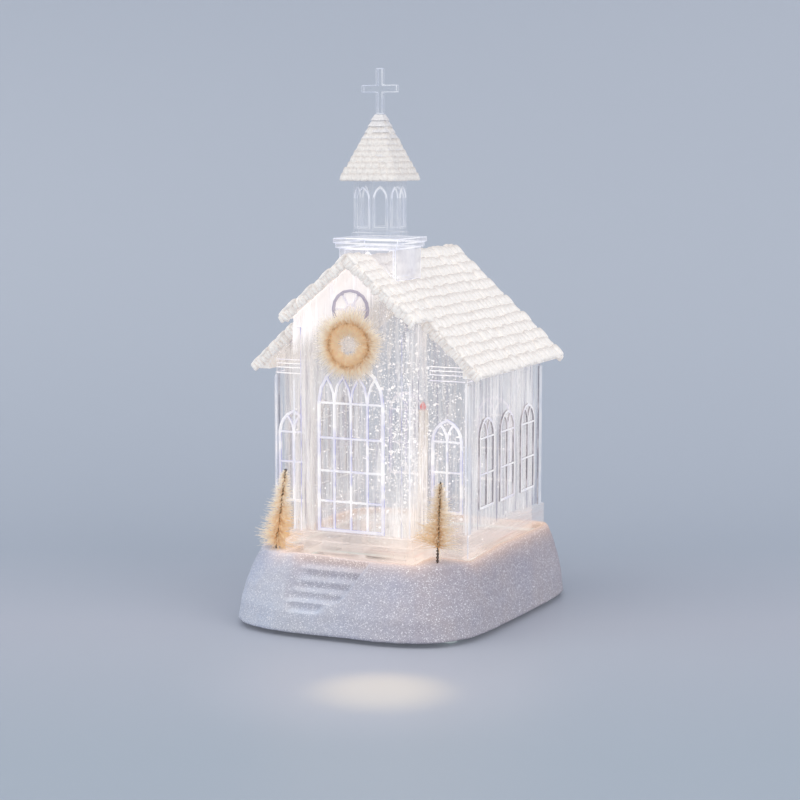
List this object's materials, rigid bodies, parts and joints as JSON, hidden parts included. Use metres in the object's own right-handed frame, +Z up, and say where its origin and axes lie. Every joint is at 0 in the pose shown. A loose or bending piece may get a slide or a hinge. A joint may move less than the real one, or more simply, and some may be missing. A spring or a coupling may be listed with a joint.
{
  "type": "water-filled lighted church decoration",
  "caption": "Clear moulded church filled with glittering water on a snowy base, with brush trees, a wreath, a battery light and a magnetic stirrer.",
  "frame": {"origin": "on the table under the middle of the base", "axes": "+Z up, the church's front with its door and steps faces -Y, +X to the right as seen from the front"},
  "size_m": [0.1364, 0.16, 0.2695],
  "materials": {
    "snow": "white moulded plastic with a fine sparkle",
    "clear": "clear, polished",
    "frosted": "clear plastic frosted white with fine glitter",
    "water": "clear liquid with glitter",
    "bristle": "golden natural bristle",
    "wire": "dark twisted wire",
    "white_plastic": "matt moulded",
    "black_plastic": "matt moulded",
    "rubber": "soft, translucent",
    "steel": "plain",
    "candle": "cream, satin",
    "flame": "red, gloss",
    "board": "green board",
    "lamp": "clear epoxy",
    "cell": "plain grey wrapper",
    "lead": "soft insulation"
  },
  "bodies": {
    "base": {"snow_base": "snow", "church_body": "clear", "roof": "frosted", "tower_deck": "clear", "belfry": "clear", "steeple_roof": "frosted", "cross": "clear", "tank_floor": "clear", "tank_gasket": "rubber", "fill_bung": "rubber", "stirrer_pin": "steel", "stirrer_guard": "clear", "candle": "candle", "candle_flame": "flame", "water": "water", "bottom_plate": "white_plastic", "battery_1": "cell", "battery_2": "cell", "battery_3": "cell", "contact_positive": "steel", "contact_negative": "steel", "contact_link_left": "steel", "contact_link_right": "steel", "contact_spring_1": "steel", "contact_spring_2": "steel", "contact_spring_3": "steel", "motor": "steel", "motor_bracket": "steel", "motor_screw_1": "steel", "motor_screw_2": "steel", "base_screw_1": "steel", "base_screw_2": "steel", "base_screw_3": "steel", "base_screw_4": "steel", "light_board": "board", "led_1": "lamp", "led_2": "lamp", "timer_chip": "black_plastic", "lead_battery": "lead", "lead_switch": "lead", "lead_motor": "lead", "switch_body": "steel", "foot_1": "rubber", "foot_2": "rubber", "foot_3": "rubber", "foot_4": "rubber", "tree_left": "bristle", "tree_right": "bristle", "tree_left_stem": "wire", "tree_right_stem": "wire", "wreath": "bristle"},
    "drive": {"drive_shaft": "steel", "magnet_hub": "black_plastic", "drive_magnet_1": "steel", "drive_magnet_2": "steel"},
    "stirrer_wheel": {"stirrer": "white_plastic", "stirrer_magnet_1": "steel", "stirrer_magnet_2": "steel"},
    "switch_knob": {"switch_slider": "black_plastic"},
    "door": {"battery_door": "white_plastic"}
  },
  "joints": [
    {"name": "drive_spin", "type": "hinge", "parent": "base", "child": "drive", "pos_m": [0, -0.014, 0.028], "axis": [0, 0, 1], "continuous": true},
    {"name": "stirrer_spin", "type": "hinge", "parent": "base", "child": "stirrer_wheel", "pos_m": [0, -0.014, 0.04], "axis": [0, 0, 1], "continuous": true},
    {"name": "switch_slide", "type": "slide", "parent": "base", "child": "switch_knob", "axis": [0, 1, 0], "range_m": [0, 0.004]},
    {"name": "battery_door_hinge", "type": "hinge", "parent": "base", "child": "door", "pos_m": [0, 0.0565, 0.0033], "axis": [1, 0, 0], "range_deg": [0, 100]}
  ],
  "couplings": [
    {"joint": "stirrer_spin", "follows": "drive_spin", "ratio": 1}
  ]
}
